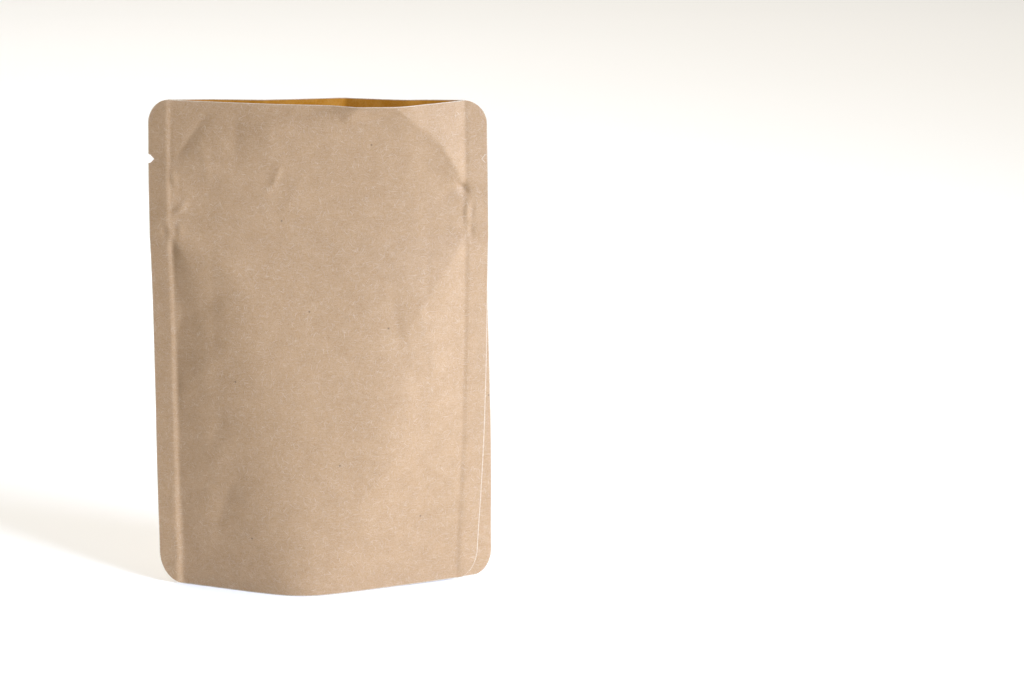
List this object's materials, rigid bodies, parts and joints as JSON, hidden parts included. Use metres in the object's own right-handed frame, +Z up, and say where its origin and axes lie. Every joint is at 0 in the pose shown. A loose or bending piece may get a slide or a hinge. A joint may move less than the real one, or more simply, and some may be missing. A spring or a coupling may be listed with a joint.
{
  "type": "kraft stand-up pouch",
  "caption": "Empty kraft paper stand-up pouch with a gaping mouth, side seams with tear notches, an inside zip and a gusset folded into its bottom.",
  "frame": {"origin": "middle of the bottom of the part's box, on the surface that the pouch stands on", "axes": "+Z up towards the mouth, -Y out of the front sheet, +X to the right seen from the front"},
  "size_m": [0.1022, 0.0234, 0.15],
  "materials": {
    "kraft_paper": "matt brown kraft paper with fine light and dark fibres"
  },
  "bodies": {
    "root": {"pouch": "kraft_paper"}
  },
  "joints": []
}
